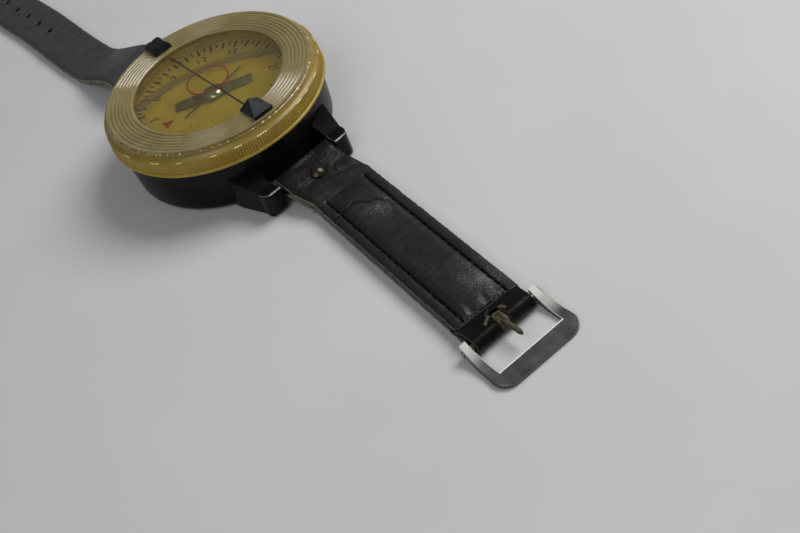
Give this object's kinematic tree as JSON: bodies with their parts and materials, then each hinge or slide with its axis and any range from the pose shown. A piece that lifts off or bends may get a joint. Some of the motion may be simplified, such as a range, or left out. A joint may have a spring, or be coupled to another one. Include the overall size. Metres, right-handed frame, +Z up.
{
  "type": "aircraft wrist compass",
  "caption": "Liquid-filled wrist compass with a black lugged case, clear turning bezel with course line and sights, swinging needle, leather strap halves and buckle.",
  "frame": {"origin": "middle of the flat base of the case, in the plane that it lies on", "axes": "+X along the lug axis towards the buckle strap, +Z up out of the dial, +Y completes the right-handed frame"},
  "size_m": [0.2912, 0.0614, 0.0245],
  "materials": {
    "case_plastic": "moulded black plastic, semi-gloss, worn edges",
    "bar_steel": "plain steel bar",
    "capsule_plastic": "yellowed cream plastic",
    "dial_card": "yellowed dial with black printing",
    "post_brass": "turned brass",
    "gasket_rubber": "aged rubber",
    "window_clear": "clear plastic",
    "bezel_clear": "yellowed clear plastic, fine rings and teeth",
    "sight_plastic": "black gloss plastic",
    "needle_steel": "grey-olive painted magnet steel",
    "hub_metal": "polished hub",
    "jewel_red": "synthetic jewel",
    "leather_black": "black grain leather, cracked and worn",
    "leather_tan": "raw tan leather",
    "rivet_brass": "tarnished brass",
    "buckle_metal": "worn plated plate",
    "prong_brass": "corroded brass with green patina"
  },
  "bodies": {
    "case": {"case_body": "case_plastic", "front_lug_bar": "bar_steel", "rear_lug_bar": "bar_steel", "capsule_bowl": "capsule_plastic", "dial_plate": "dial_card", "pivot_post": "post_brass", "window_gasket": "gasket_rubber", "capsule_window": "window_clear", "lock_ring": "capsule_plastic", "bezel_spring": "bar_steel"},
    "bezel": {"bezel_cap": "bezel_clear", "front_sight": "sight_plastic", "rear_sight": "sight_plastic"},
    "needle": {"needle_bar": "needle_steel", "needle_hub": "hub_metal", "pivot_jewel": "jewel_red"},
    "short_strap": {"short_strap_leather": "leather_black", "short_strap_filler": "leather_tan", "short_strap_lining": "leather_tan", "short_strap_rivet": "rivet_brass", "buckle_loop": "leather_black"},
    "buckle": {"buckle_frame": "buckle_metal", "buckle_bar": "bar_steel"},
    "prong": {"buckle_prong": "prong_brass"},
    "long_strap": {"long_strap_leather": "leather_black", "long_strap_lining": "leather_tan", "long_strap_rivet": "rivet_brass"}
  },
  "joints": [
    {"name": "bezel_turn", "type": "hinge", "parent": "case", "child": "bezel", "pos_m": [0, 0, 0.018], "axis": [0, 0, 1], "continuous": true},
    {"name": "needle_swing", "type": "hinge", "parent": "case", "child": "needle", "pos_m": [0, 0, 0.0125], "axis": [0, 0, 1], "continuous": true},
    {"name": "short_strap_hinge", "type": "hinge", "parent": "case", "child": "short_strap", "pos_m": [0.0335, 0, 0.0047], "axis": [0, 1, 0], "range_deg": [-80, 85]},
    {"name": "long_strap_hinge", "type": "hinge", "parent": "case", "child": "long_strap", "pos_m": [-0.0335, 0, 0.0047], "axis": [0, -1, 0], "range_deg": [-70, 85]},
    {"name": "buckle_hinge", "type": "hinge", "parent": "short_strap", "child": "buckle", "pos_m": [0.11146, -0.00753, 0.0022], "axis": [0.0698, 0.9976, 0], "range_deg": [-110, 110]},
    {"name": "prong_hinge", "type": "hinge", "parent": "short_strap", "child": "prong", "pos_m": [0.11146, -0.00753, 0.0022], "axis": [0.0698, 0.9976, 0], "range_deg": [-100, 15]}
  ]
}
